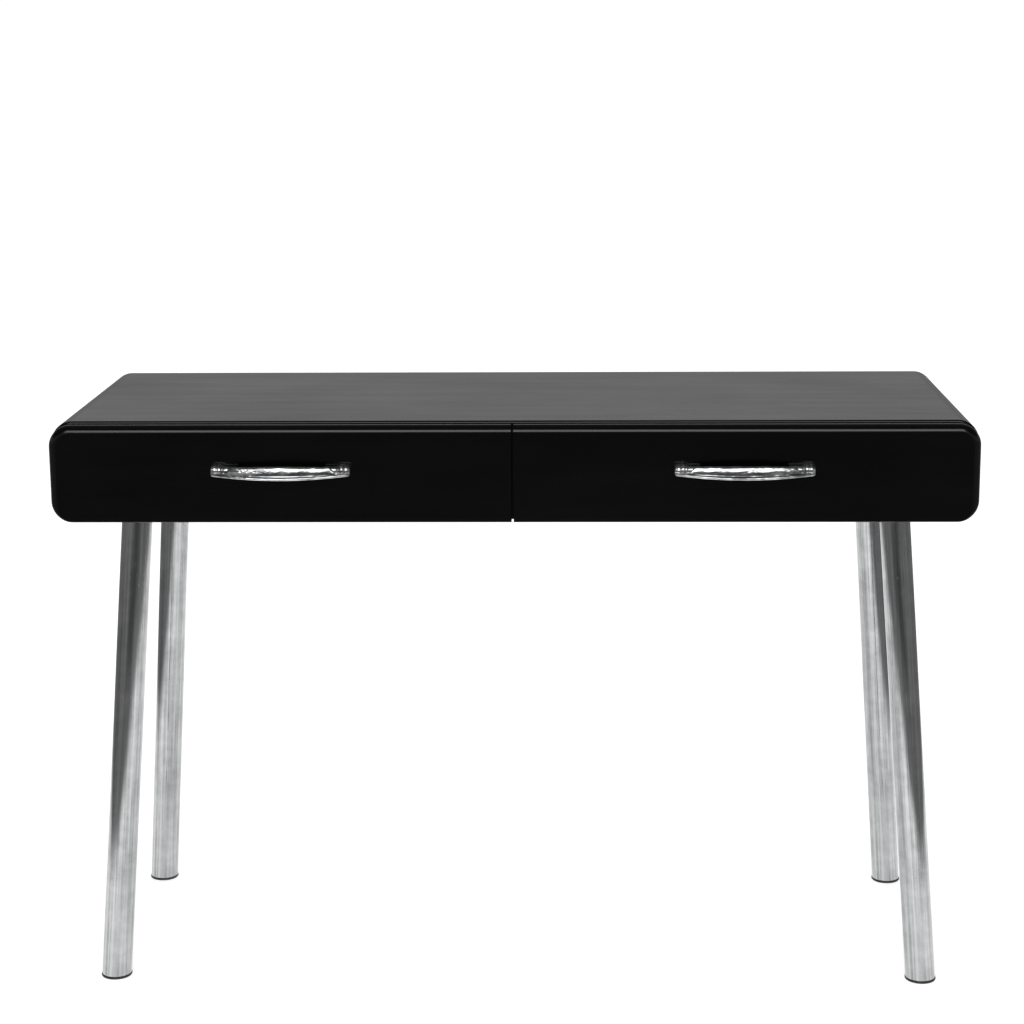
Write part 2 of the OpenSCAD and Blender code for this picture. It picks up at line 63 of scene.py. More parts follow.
CORNER_STEPS = 14
FRONT_ROUND = 0.010
FRONT_TOP_DROP = 0.0025
FRONT_UNDER_SHARE = 0.2
FRONT_STEPS = 10
FRONT_REAR_ROUND = 0.005
SEAM_ROUND = 0.0008
CASE_FRONT_ROUND = 0.003
CASE_UNDER_SHARE = 0.2
CASE_BACK_ROUND = 0.0015
EDGE_STEPS = 5
LEG_R = 0.020
LEG_WALL = 0.0015
LEVEL_CUT = 1.0029  # a level cut through a leaning leg is about this much wider than the tube
GLIDE_PROUD = 0.0008
GLIDE_PLUG = 0.022
BOW_STEPS = 30
BOW_REACH = 0.080
BOW_TOP_RISE = 0.0025
BOW_LIFT = 0.003
BOW_DROP = 0.003
BOW_SWEEP = 0.0095
BOW_TIP_GAP = 0.0012
BOW_LEAST_DEPTH = 0.0045
BEAD_R = 0.0020
LIP_H = 0.0046  # more than two bead radii, or the bow's end would cross itself
LIP_EASE = 0.011
NECK_X = 0.063
NECK_R = 0.0052
KNUCKLE_R = 0.00825
KNUCKLE_RISE = 0.0030
KNUCKLE_RINGS = ((0.0056, 1.0), (0.0056, 1.0), (0.0030, 0.88))  # each one's width and share of KNUCKLE_R
HANDLE_FOOT = ((0.0, 0.0066), (0.0010, 0.0069), (0.0018, 0.0066), (0.0030, 0.0060), (0.0070, 0.0055))


# ---------------------------------------------------------------- mesh helpers

def put_in_scene(name, mesh):
    """A new object for a mesh, at the origin."""
    piece = bpy.data.objects.new(name, mesh)
    bpy.context.scene.collection.objects.link(piece)
    return piece


def plain(piece):
    """Applies a piece's modifiers, so that it is a plain mesh."""
    depsgraph = bpy.context.evaluated_depsgraph_get()
    finished = bpy.data.meshes.new_from_object(piece.evaluated_get(depsgraph),
                                               preserve_all_data_layers=True, depsgraph=depsgraph)
    piece.modifiers.clear()
    piece.data = finished
    return piece


def shaded(piece, material, crease=32):
    """Turns the faces outwards, smooths edges flatter than crease degrees, and paints the piece."""
    form = bmesh.new()
    form.from_mesh(piece.data)
    bmesh.ops.recalc_face_normals(form, faces=form.faces)
    for face in form.faces:
        face.smooth = True
    for edge in form.edges:
        edge.smooth = edge.calc_face_angle(math.pi) < math.radians(crease)
    form.to_mesh(piece.data)
    form.free()
    piece.data.materials.clear()
    piece.data.materials.append(material)
    normals = piece.modifiers.new("normals", "WEIGHTED_NORMAL")
    normals.keep_sharp = True
    return plain(piece)


def bevelled(piece, width, segments=2, angle=40):
    """Rounds every edge sharper than angle degrees."""
    bevel = piece.modifiers.new("bevel", "BEVEL")
    bevel.width = width
    bevel.segments = segments
    bevel.limit_method = "ANGLE"
    bevel.angle_limit = math.radians(angle)
    return plain(piece)


def loft(rings, looped=False):
    """Corners and faces of a skin over rings of equal length. Open ends are capped."""
    count = len(rings[0])
    corners = [point for ring in rings for point in ring]
    faces = []
    for i in range(len(rings) if looped else len(rings) - 1):
        a, b = i * count, (i + 1) % len(rings) * count
        faces += [(a + k, a + (k + 1) % count, b + (k + 1) % count, b + k) for k in range(count)]
    if not looped:
        faces += [tuple(range(count)), tuple(range(len(corners) - count, len(corners)))]
    return corners, faces


def skinned(name, rings, material, looped=False, crease=32):
    """A painted piece lofted over rings."""
    mesh = bpy.data.meshes.new(name)
    corners, faces = loft(rings, looped)
    mesh.from_pydata(corners, [], faces)
    return shaded(put_in_scene(name, mesh), material, crease)


def quarter(radius, steps):
    """Points of a rounded edge as (in from the side, back from the face), from the face to the side."""
    turns = [math.pi / 2 * i / steps for i in range(steps + 1)]
    return [(radius * (1 - math.sin(t)), radius * (1 - math.cos(t))) for t in turns]


def rounded_outline(low, high, radii, steps, y):
    """A rectangle in X and Z with rounded corners. radii go anticlockwise from the lower right."""
    points = []
    signs = ((1, -1), (1, 1), (-1, 1), (-1, -1))
    for k, ((sx, sz), radius) in enumerate(zip(signs, radii)):
        cx = (high[0] if sx > 0 else low[0]) - sx * radius
        cz = (high[1] if sz > 0 else low[1]) - sz * radius
        count = steps if radius > 0 else 0
        for i in range(count + 1):
            turn = math.pi / 2 * (k - 1 + (i / count if count else 0.5))
            points.append((cx + radius * math.cos(turn), y, cz + radius * math.sin(turn)))
    return points


def mirrored(points, side):
    """Points of a right-hand shape, turned over for the left-hand side."""
    return [(side * x, y, z) for x, y, z in points]


def turned(profile, centre, axis, steps=40):
    """Rings round an axis through centre. profile holds (along the axis, radius) pairs."""
    axis = Vector(axis).normalized()
    across = axis.orthogonal().normalized()
    up = axis.cross(across)
    turns = [2 * math.pi * i / steps for i in range(steps)]
    return [[Vector(centre) + axis * along + (across * math.cos(t) + up * math.sin(t)) * radius
             for t in turns] for along, radius in profile]


def softened(node, width, material, angle=40):
    """A copy of a CAD node with welded corners and softly broken edges."""
    piece = put_in_scene(node + "_finished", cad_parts[node].data.copy())
    form = bmesh.new()
    form.from_mesh(piece.data)
    bmesh.ops.remove_doubles(form, verts=form.verts, dist=1e-5)
    bmesh.ops.dissolve_limit(form, angle_limit=math.radians(1), verts=form.verts, edges=form.edges)
    form.to_mesh(piece.data)
    form.free()
    return shaded(bevelled(piece, width, angle=angle), material)


def loose_boxes(node):
    """The box of each separate solid in a CAD node."""
    form = bmesh.new()
    form.from_mesh(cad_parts[node].data)
    bmesh.ops.remove_doubles(form, verts=form.verts, dist=1e-5)
    left, boxes = set(form.verts), []
    while left:
        queue, solid = [left.pop()], []
        while queue:
            corner = queue.pop()
            solid.append(corner.co.copy())
            for edge in corner.link_edges:
                other = edge.other_vert(corner)
                if other in left:
                    left.remove(other)
                    queue.append(other)
        boxes.append((Vector(map(min, *solid)), Vector(map(max, *solid))))
    form.free()
    return sorted(boxes, key=lambda box: tuple(round(v, 4) for v in box[0]))


def settle(piece, body, slot, *nodes):
    """Hands a finished piece to its body and hides the CAD nodes that it stands for. The slot is not used."""
    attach(piece, body)
    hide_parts(*nodes)
    return piece


# ---------------------------------------------------------------- node helpers

class Nodes:
    """Adds wired nodes to a node tree."""

    def __init__(self, tree):
        self.tree = tree

    def add(self, kind, wires=(), **settings):
        """A node of that kind. wires pairs its inputs with sockets or plain values."""
        node = self.tree.nodes.new(kind)
        for key, value in settings.items():
            setattr(node, key, value)
        for key, value in wires:
            if isinstance(value, bpy.types.NodeSocket):
                self.tree.links.new(value, node.inputs[key])
            else:
                node.inputs[key].default_value = value
        return node

    def math(self, operation, a, b=0.0, c=0.0):
        return self.add("ShaderNodeMath", [(0, a), (1, b), (2, c)], operation=operation).outputs[0]

    def vector(self, operation, a, b=(0, 0, 0)):
        node = self.add("ShaderNodeVectorMath", [(0, a)], operation=operation)
        key = "Scale" if operation == "SCALE" else 1
        if isinstance(b, bpy.types.NodeSocket):
            self.tree.links.new(b, node.inputs[key])
        else:
            node.inputs[key].default_value = b
        return node.outputs["Value" if operation in ("DOT_PRODUCT", "LENGTH") else 0]

    def stretch(self, place, factors):
        return self.add("ShaderNodeMapping", [("Vector", place), ("Scale", factors)]).outputs[0]

    def noise(self, place, scale, detail=2.0, roughness=0.5):
        wires = [("Vector", place), ("Scale", scale), ("Detail", detail), ("Roughness", roughness)]
        return self.add("ShaderNodeTexNoise", wires).outputs["Fac"]

    def cells(self, place, scale, feature="F1", output="Distance"):
        wires = [("Vector", place), ("Scale", scale)]
        return self.add("ShaderNodeTexVoronoi", wires, feature=feature).outputs[output]

    def spread(self, value, low, high, to_low, to_high):
        """Maps low..high onto to_low..to_high, held at both ends."""
        wires = [("Value", value), (1, low), (2, high), (3, to_low), (4, to_high)]
        return self.add("ShaderNodeMapRange", wires).outputs[0]

    def blend(self, share, a, b):
        """Mixes two colours."""
        node = self.add("ShaderNodeMix", [(0, share)], data_type="RGBA")
        for key, value in ((6, a), (7, b)):
            if isinstance(value, bpy.types.NodeSocket):
                self.tree.links.new(value, node.inputs[key])
            else:
                node.inputs[key].default_value = (*value, 1)
        return node.outputs[2]

    def bump(self, height, strength, distance, under=None):
        wires = [("Height", height), ("Strength", strength), ("Distance", distance)]
        if under is not None:
            wires.append(("Normal", under))
        return self.add("ShaderNodeBump", wires).outputs[0]


def painted(name, recipe, **constants):
    """A material: recipe(nodes, place) gives the varying inputs of its shader."""
    material = bpy.data.materials.new(name)
    material.use_nodes = True
    tree = material.node_tree
    tree.nodes.clear()
    nodes = Nodes(tree)
    place = nodes.add("ShaderNodeTexCoord").outputs["Object"]
    shader = nodes.add("ShaderNodeBsdfPrincipled", [(k.replace("_", " "), v) for k, v in constants.items()])
    for key, socket in recipe(nodes, place).items():
        tree.links.new(socket, shader.inputs[key.replace("_", " ")])
    nodes.add("ShaderNodeOutputMaterial", [("Surface", shader.outputs[0])])
    return material


# ---------------------------------------------------------------- finishes

def lacquer_recipe(nodes, place):
    """Polished black lacquer with a faint orange peel, hazy patches and a few dust specks."""
    haze = nodes.noise(place, 5.0, 4.0, 0.55)
    wipe = nodes.noise(nodes.stretch(place, (1.2, 14.0, 14.0)), 3.0, 5.0, 0.6)
    rough = nodes.spread(nodes.math("ADD", haze, wipe), 0.7, 1.3, 0.13, 0.2)
    specks = nodes.spread(nodes.cells(place, 95.0), 0.03, 0.06, 1.0, 0.0)
    patchy = nodes.spread(nodes.noise(place, 11.0), 0.55, 0.7, 0.0, 1.0)
    dust = nodes.math("MULTIPLY", specks, patchy)
    peel = nodes.bump(nodes.noise(place, 320.0, 1.0), 0.05, 0.0004)
    return {
        "Base_Color": nodes.blend(haze, (0.0001, 0.0001, 0.0001), (0.0006, 0.0006, 0.0006)),
        "Roughness": nodes.math("ADD", rough, nodes.math("MULTIPLY", dust, 0.12)),
        "Normal": nodes.bump(dust, 0.25, 0.0001, peel),
    }


def foil_recipe(nodes, place):
    """Dark charcoal foil over fibreboard, with a fine pressed grain."""
    grain = nodes.noise(nodes.stretch(place, (9.0, 1.0, 9.0)), 120.0, 3.0, 0.6)
    cloud = nodes.noise(place, 9.0, 3.0)
    return {
        "Base_Color": nodes.blend(nodes.math("MULTIPLY", grain, cloud),
                                  (0.026, 0.026, 0.029), (0.062, 0.062, 0.067)),
        "Roughness": nodes.spread(cloud, 0.3, 0.7, 0.36, 0.52),
        "Normal": nodes.bump(grain, 0.18, 0.0003),
    }


def chrome_recipe(nodes, place):
    """Bright chrome with soft clouding and small pits."""
    cloud = nodes.noise(nodes.stretch(place, (0.6, 1.0, 1.6)), 75.0, 4.0, 0.62)
    pits = nodes.spread(nodes.cells(place, 210.0), 0.05, 0.11, 1.0, 0.0)
    patchy = nodes.spread(nodes.noise(place, 26.0, 2.0), 0.52, 0.62, 0.0, 1.0)
    pits = nodes.math("MULTIPLY", pits, patchy)
    ripple = nodes.bump(nodes.noise(nodes.stretch(place, (0.55, 1.0, 1.3)), 62.0, 3.0, 0.55), 0.42, 0.003)
    return {
        "Base_Color": nodes.blend(nodes.math("MAXIMUM", pits, nodes.spread(cloud, 0.42, 0.62, 0.0, 0.9)),
                                  (0.66, 0.665, 0.675), (0.17, 0.172, 0.175)),
        "Roughness": nodes.math("ADD", nodes.spread(cloud, 0.35, 0.7, 0.10, 0.2),
                                nodes.math("MULTIPLY", pits, 0.3)),
        "Normal": nodes.bump(pits, 0.3, 0.0002, ripple),
    }


def tube_recipe(nodes, _place):
    """Chromed tube: fine lines along its length, cloudy patches and small pits."""
    place = nodes.add("ShaderNodeAttribute", attribute_name="tube_place").outputs["Vector"]
    lines = nodes.noise(nodes.stretch(place, (1.0, 1.0, 0.012)), 420.0, 3.0, 0.65)
    broad = nodes.noise(nodes.stretch(place, (1.0, 1.0, 0.03)), 110.0, 2.0, 0.5)
    cloud = nodes.noise(place, 34.0, 5.0, 0.62)
    pits = nodes.spread(nodes.cells(place, 230.0), 0.06, 0.14, 1.0, 0.0)
    patchy = nodes.spread(nodes.noise(place, 22.0, 2.0), 0.5, 0.6, 0.0, 1.0)
    pits = nodes.math("MULTIPLY", pits, patchy)
    height = nodes.math("ADD", broad, nodes.math("MULTIPLY", lines, 0.3))
    drawn = nodes.math("ADD", nodes.math("MULTIPLY", cloud, 0.7), nodes.math("ADD", lines, broad))
    wear = nodes.math("MAXIMUM", pits, nodes.spread(drawn, 1.15, 1.65, 0.0, 0.9))
    return {
        "Base_Color": nodes.blend(wear, (0.52, 0.525, 0.53), (0.24, 0.245, 0.25)),
        "Roughness": nodes.math("ADD", nodes.spread(nodes.math("ADD", lines, cloud), 0.8, 1.3, 0.07, 0.17),
                                nodes.math("MULTIPLY", pits, 0.25)),
        "Normal": nodes.bump(pits, 0.35, 0.0003, nodes.bump(height, 0.45, 0.001)),
    }


def zinc_recipe(nodes, place):
    """Zinc plate: small bluish crystals with a dull bloom."""
    crystals = nodes.cells(place, 260.0, output="Color")
    bloom = nodes.noise(place, 45.0, 4.0)
    tone = nodes.math("MULTIPLY", nodes.vector("DOT_PRODUCT", crystals, (0.33, 0.33, 0.33)), bloom)
    return {
        "Base_Color": nodes.blend(tone, (0.34, 0.36, 0.39), (0.72, 0.73, 0.74)),
        "Roughness": nodes.spread(bloom, 0.3, 0.7, 0.28, 0.45),
        "Normal": nodes.bump(bloom, 0.12, 0.0005),
    }


def coat_recipe(nodes, place):
    """Off-white powder coat with a pebbled skin and grey rub marks."""
    pebble = nodes.noise(place, 900.0, 2.0)
    rub = nodes.noise(nodes.stretch(place, (1.0, 0.08, 1.0)), 130.0, 4.0, 0.65)
    return {
        "Base_Color": nodes.blend(nodes.spread(rub, 0.5, 0.75, 0.0, 0.6),
                                  (0.70, 0.69, 0.65), (0.46, 0.46, 0.45)),
        "Roughness": nodes.spread(rub, 0.35, 0.7, 0.36, 0.52),
        "Normal": nodes.bump(pebble, 0.2, 0.0002),
    }


def nylon_recipe(nodes, place):
    """Milky nylon, a little dirty where it runs."""
    dirt = nodes.noise(place, 160.0, 4.0, 0.65)
    return {
        "Base_Color": nodes.blend(nodes.spread(dirt, 0.5, 0.8, 0.0, 0.7),
                                  (0.80, 0.78, 0.72), (0.42, 0.40, 0.37)),
        "Roughness": nodes.spread(dirt, 0.3, 0.7, 0.3, 0.5),
        "Normal": nodes.bump(dirt, 0.08, 0.0003),
    }


def plastic_recipe(nodes, place):
    """Moulded black plastic with a fine matt grain and pale scuffs."""
    grain = nodes.noise(place, 1400.0, 1.0)
    scuff = nodes.noise(nodes.stretch(place, (1.0, 1.0, 6.0)), 90.0, 4.0, 0.7)
    return {
        "Base_Color": nodes.blend(nodes.spread(scuff, 0.6, 0.8, 0.0, 0.6),
                                  (0.012, 0.012, 0.013), (0.06, 0.06, 0.06)),
        "Roughness": nodes.spread(scuff, 0.3, 0.7, 0.42, 0.6),
        "Normal": nodes.bump(grain, 0.15, 0.0002),
    }


lacquer = painted("black_lacquer", lacquer_recipe, IOR=1.4)
foil = painted("charcoal_foil", foil_recipe, IOR=1.45)
chrome = painted("handle_chrome", chrome_recipe, Metallic=1.0)
tube_chrome = painted("tube_chrome", tube_recipe, Metallic=1.0)
zinc = painted("zinc_plate", zinc_recipe, Metallic=1.0)
rail_coat = painted("rail_powder_coat", coat_recipe, IOR=1.5)
nylon = painted("milky_nylon", nylon_recipe, IOR=1.53)
black_plastic = painted("black_plastic", plastic_recipe, IOR=1.49)


# ---------------------------------------------------------------- geometry trees

def geometry_tree(name, inputs):
    """An empty geometry tree with named inputs, and its group input and output nodes."""
    tree = bpy.data.node_groups.new(name, "GeometryNodeTree")
    tree.is_modifier = True
    tree.interface.new_socket("Geometry", in_out="INPUT", socket_type="NodeSocketGeometry")
    for label, kind in inputs:
        tree.interface.new_socket(label, in_out="INPUT", socket_type="NodeSocket" + kind)
    tree.interface.new_socket("Geometry", in_out="OUTPUT", socket_type="NodeSocketGeometry")
    nodes = Nodes(tree)
    return tree, nodes, nodes.add("NodeGroupInput").outputs


def end_tree(nodes, geometry, material):
    """Ends a tree in Realize Instances and Set Material."""
    real = nodes.add("GeometryNodeRealizeInstances", [("Geometry", geometry)])
    paint = nodes.add("GeometryNodeSetMaterial", [("Geometry", real.outputs[0]), ("Material", material)])
    nodes.add("NodeGroupOutput", [("Geometry", paint.outputs[0])])


def grown(name, tree, settings, points=((0, 0, 0),), facings=None):
    """Runs a geometry tree on loose points and keeps the result as a plain mesh."""
    mesh = bpy.data.meshes.new(name)
    mesh.from_pydata([tuple(p) for p in points], [], [])
    if facings:
        store = mesh.attributes.new("facing", "FLOAT_VECTOR", "POINT")
        for item, facing in zip(store.data, facings):
            item.vector = facing
    piece = put_in_scene(name, mesh)
    modifier = piece.modifiers.new("grow", "NODES")
    modifier.node_group = tree
    sockets = {item.name: item.identifier for item in tree.interface.items_tree if item.in_out == "INPUT"}
    for label, value in settings.items():
        modifier[sockets[label]] = value
    return plain(piece)


def screw_tree():
    """Screws on points: a head with a cross recess, over a shank. Each head's top is at its point."""
    tree, nodes, given = geometry_tree("screws", [
        ("Head Radius", "Float"), ("Head Height", "Float"), ("Shank Radius", "Float"),
        ("Length", "Float"), ("Recess Width", "Float"), ("Countersunk", "Bool"),
        ("Seed", "Int"), ("Material", "Material")])
    labels = ("Head Radius", "Head Height", "Shank Radius", "Length")
    radius, height, shank_r, length = (given[label] for label in labels)
    half = nodes.math("MULTIPLY", height, 0.5)

    def lowered(mesh, depth):
        drop = nodes.add("ShaderNodeCombineXYZ", [("Z", nodes.math("MULTIPLY", depth, -1.0))])
        wires = [("Geometry", mesh), ("Translation", drop.outputs[0])]
        return nodes.add("GeometryNodeTransform", wires).outputs[0]

    # A pan head is a short cylinder cut by a large sphere. A countersunk head is a cone.
    blank = nodes.add("GeometryNodeMeshCylinder", [("Vertices", 28), ("Radius", radius), ("Depth", height)])
    ball_r = nodes.math("MULTIPLY", radius, 1.35)
    ball = nodes.add("GeometryNodeMeshUVSphere", [("Segments", 28), ("Rings", 36), ("Radius", ball_r)])
    pan = nodes.add("GeometryNodeMeshBoolean", operation="INTERSECT")
    for mesh in (lowered(blank.outputs[0], half), lowered(ball.outputs[0], ball_r)):
        tree.links.new(mesh, pan.inputs[1])
    cone = nodes.add("GeometryNodeMeshCone", [("Vertices", 28), ("Radius Top", radius),
                                              ("Radius Bottom", shank_r), ("Depth", height)])
    head = nodes.add("GeometryNodeSwitch", [(0, given["Countersunk"]), (1, pan.outputs[0]),
                                            (2, lowered(cone.outputs[0], height))], input_type="GEOMETRY")

    # The recess is a cross of two blocks.
    width = given["Recess Width"]
    reach = nodes.math("MULTIPLY", radius, 1.15)
    cross = nodes.add("GeometryNodeMeshBoolean", [("Mesh 1", head.outputs[0])], operation="DIFFERENCE")
    for x, y in ((reach, width), (width, reach)):
        size = nodes.add("ShaderNodeCombineXYZ", [("X", x), ("Y", y), ("Z", height)])
        block = nodes.add("GeometryNodeMeshCube", [("Size", size.outputs[0])])
        tree.links.new(block.outputs[0], cross.inputs[1])

    shank_l = nodes.math("SUBTRACT", length, height)
    tip_r = nodes.math("MULTIPLY", shank_r, 0.6)
    shank = nodes.add("GeometryNodeMeshCone", [("Vertices", 16), ("Radius Top", shank_r),
                                               ("Radius Bottom", tip_r), ("Depth", shank_l)])
    screw = nodes.add("GeometryNodeJoinGeometry")
    for mesh in (cross.outputs[0], lowered(shank.outputs[0], length)):
        tree.links.new(mesh, screw.inputs[0])

    facing = nodes.add("GeometryNodeInputNamedAttribute", [("Name", "facing")], data_type="FLOAT_VECTOR")
    turn = nodes.add("FunctionNodeAlignRotationToVector", [("Vector", facing.outputs[0])], axis="Z")
    chance = nodes.add("FunctionNodeRandomValue", [("Min", 0.0), ("Max", math.tau),
                                                   ("Seed", given["Seed"])])
    spin = nodes.add("ShaderNodeCombineXYZ", [("Z", chance.outputs["Value"])])
    spin = nodes.add("FunctionNodeEulerToRotation", [(0, spin.outputs[0])])
    turn = nodes.add("FunctionNodeRotateRotation", [("Rotation", turn.outputs[0]),
                                                    ("Rotate By", spin.outputs[0])], rotation_space="LOCAL")
    placed = nodes.add("GeometryNodeInstanceOnPoints", [("Points", given["Geometry"]),
                                                        ("Instance", screw.outputs[0]),
                                                        ("Rotation", turn.outputs[0])])
    end_tree(nodes, placed.outputs[0], given["Material"])
    return tree


def tube_tree():
    """A splayed tube with a true wall, cut level at both ends.

    Its attribute tube_place holds each point's place on the straight tube.
    """
    tree, nodes, given = geometry_tree("leg_tube", [
        ("Top", "Vector"), ("Foot", "Vector"), ("Outer Radius", "Float"), ("Wall", "Float"),
        ("Rim", "Float"), ("Material", "Material")])
    line = nodes.vector("SUBTRACT", given["Top"], given["Foot"])
    height = nodes.add("ShaderNodeSeparateXYZ", [(0, line)]).outputs["Z"]
    wall = given["Wall"]
    section = nodes.add("GeometryNodeCurvePrimitiveQuadrilateral", [("Width", wall), ("Height", height)])
    section = nodes.add("GeometryNodeFilletCurve", [("Curve", section.outputs[0]), ("Radius", given["Rim"]),
                                                    ("Count", 3)], mode="POLY")
    middle_r = nodes.math("SUBTRACT", given["Outer Radius"], nodes.math("MULTIPLY", wall, 0.5))
    path = nodes.add("GeometryNodeCurvePrimitiveCircle", [("Resolution", 96), ("Radius", middle_r)])
    tube = nodes.add("GeometryNodeCurveToMesh", [("Curve", path.outputs[0]),
                                                 ("Profile Curve", section.outputs[0])])

    # The straight tube stands on the plane Z = 0 while its places are stored.
    lift = nodes.add("ShaderNodeCombineXYZ", [("Z", nodes.math("MULTIPLY", height, 0.5))])
    stood = nodes.add("GeometryNodeSetPosition", [("Geometry", tube.outputs[0]),
                                                  ("Offset", lift.outputs[0])])
    here = nodes.add("GeometryNodeInputPosition").outputs[0]
    stored = nodes.add("GeometryNodeStoreNamedAttribute", [("Geometry", stood.outputs[0]),
                                                           ("Name", "tube_place"), ("Value", here)],
                       data_type="FLOAT_VECTOR")

    # Each point goes round the leg's own axis, then slides along that axis back to its height.
    axis = nodes.vector("NORMALIZE", line)
    across = nodes.vector("NORMALIZE", nodes.vector("CROSS_PRODUCT", (0, 1, 0), axis))
    along = nodes.vector("CROSS_PRODUCT", axis, across)
    parts = nodes.add("ShaderNodeSeparateXYZ", [(0, here)]).outputs
    around = nodes.vector("ADD", nodes.vector("SCALE", across, parts["X"]),
                          nodes.vector("SCALE", along, parts["Y"]))
    off = nodes.math("SUBTRACT", parts["Z"], nodes.add("ShaderNodeSeparateXYZ", [(0, around)]).outputs["Z"])
    slide = nodes.math("DIVIDE", off, nodes.add("ShaderNodeSeparateXYZ", [(0, axis)]).outputs["Z"])
    shifted = nodes.vector("ADD", around, nodes.vector("SCALE", axis, slide))
    spot = nodes.vector("ADD", given["Foot"], shifted)
    splayed = nodes.add("GeometryNodeSetPosition", [("Geometry", stored.outputs[0]), ("Position", spot)])
    end_tree(nodes, splayed.outputs[0], given["Material"])
    return tree


# ---------------------------------------------------------------- case

def case_outline(inset, y):
    """The case's rounded outline at the plane y, moved in by inset, and less under its front edge."""
    under = inset * (CASE_UNDER_SHARE if y < 0 and inset < panel_t / 2 else 1)
    low = (case_low.x + inset, case_low.z + under)
    high = (case_high.x - inset, case_high.z - inset)
    return rounded_outline(low, high, [corner_r - inset] * 4, CORNER_STEPS, y)


def case_shell():
    """The rounded case: its front and back edges are softened, and its rear edge is rebated."""
    chip = 0.0004
    rings = [(inset, case_low.y + back) for inset, back in quarter(CASE_FRONT_ROUND, EDGE_STEPS)]
    rings += [(inset, case_high.y - back) for inset, back in reversed(quarter(CASE_BACK_ROUND, EDGE_STEPS))]
    rings += [(back_lip - chip, case_high.y), (back_lip, case_high.y - chip), (back_lip, back_low.y)]
    rings += [(panel_t, back_low.y), (panel_t, case_low.y + chip), (panel_t - chip, case_low.y)]
    piece = skinned("case_shell", [case_outline(*ring) for ring in rings], lacquer, looped=True)
    corners = [f"{level}_{name}_corner" for level in ("top", "bottom") for name, _ in SIDES]
    panels = ["top_panel", "bottom_panel", "left_side_panel", "right_side_panel"]
    settle(piece, "case", "lacquer", *panels, *corners)


def case_inner_pieces():
    """The divider and the back panel."""
    for node in ("centre_divider", "back_panel"):
        settle(softened(node, 0.0004, lacquer), "case", "lacquer", node)


# ---------------------------------------------------------------- drawers

def drawer_front(name, side):
    """A front with a soft outer roundover and crisp seam and rear edges."""
    def outline(inset, y):
        low = (front_low.x, front_low.z + inset * FRONT_UNDER_SHARE)
        high = (front_high.x - inset, front_high.z - FRONT_TOP_DROP - inset)
        radius = corner_r - inset
        return mirrored(rounded_outline(low, high, (radius, radius, 0, 0), CORNER_STEPS, y), side)

    rings = [outline(inset, front_low.y + back) for inset, back in quarter(FRONT_ROUND, FRONT_STEPS)]
    rear_edge = reversed(quarter(FRONT_REAR_ROUND, EDGE_STEPS))
    rings += [outline(inset, front_high.y - back) for inset, back in rear_edge]
    piece = skinned(name + "_front_finished", rings, lacquer)
    piece = shaded(bevelled(piece, SEAM_ROUND, 3, 50), lacquer)
    settle(piece, name + "_drawer", "lacquer", name + "_drawer_front")


def drawer_box(name):
    """The sides, back and bottom of a drawer."""
    for part in ("outer_side", "inner_side", "back", "bottom"):
        node = f"{name}_drawer_{part}"
        settle(softened(node, 0.0004, foil), name + "_drawer", "foil", node)


# ---------------------------------------------------------------- handles

def eased(share):
    """Smooth step from 0 to 1."""
    share = min(max(share, 0.0), 1.0)
    return share * share * (3 - 2 * share)


def bow_section(height, least_depth):
    """The bow's section as (back from its front, up from its lower edge): bead, groove, face, back."""
    points = []
    for degrees in range(-90, 61, 25):
        turn = math.radians(degrees)
        points.append((BEAD_R * (1 - math.cos(turn)), BEAD_R * (1 + math.sin(turn))))
    above = height - 2 * BEAD_R
    points.append((BEAD_R + 0.0007, 2 * BEAD_R + 0.06 * above))
    back, last = BEAD_R - 0.0006, 0.15
    points.append((back, 2 * BEAD_R + last * above))
    # The face leans back slowly at first, then turns over the top edge.
    for share, lean in ((0.25, 3), (0.35, 5), (0.45, 7), (0.55, 11), (0.65, 15), (0.75, 19),
                        (0.84, 24), (0.91, 34), (0.96, 50), (0.99, 68)):
        back += (share - last) * above * math.tan(math.radians(lean))
        last = share
        points.append((back, 2 * BEAD_R + share * above))
    rear = max(back + 0.0008, least_depth)
    points += [(back + 0.0005, height), (rear - 0.0003, height), (rear, height - 0.0005)]
    points += [(rear, 0.0012), (rear - 0.001, 0.0002)]
    return points


def bow_rings():
    """Sections of the bow from end to end. Past the necks only its lower lip goes on."""
    middle = (handle_low.x + handle_high.x) / 2
    tip = (handle_high.x - handle_low.x) / 2 - BOW_TIP_GAP
    tip_round = 0.002
    rings = []
    for i in range(-BOW_STEPS, BOW_STEPS + 1):
        x = tip * math.sin(math.pi / 2 * i / BOW_STEPS) * 0.35 + tip * i / BOW_STEPS * 0.65
        s = (x / BOW_REACH) ** 2
        low = handle_low.z + BOW_LIFT + BOW_DROP * s
        high = handle_high.z - BOW_TOP_RISE * s
        high += (low + LIP_H - high) * eased((abs(x) - NECK_X) / LIP_EASE)
        front = handle_low.y + BOW_SWEEP * s
        close = math.sqrt(max(1 - max(0, (abs(x) - tip + tip_round) / tip_round) ** 2, 0.04))
        section = bow_section(high - low, BOW_LEAST_DEPTH)
        mid_d = sum(d for d, _ in section) / len(section)
        mid_h = sum(h for _, h in section) / len(section)
        rings.append([(middle + x, front + mid_d + (d - mid_d) * close, low + mid_h + (h - mid_h) * close)
                      for d, h in section])
    return rings


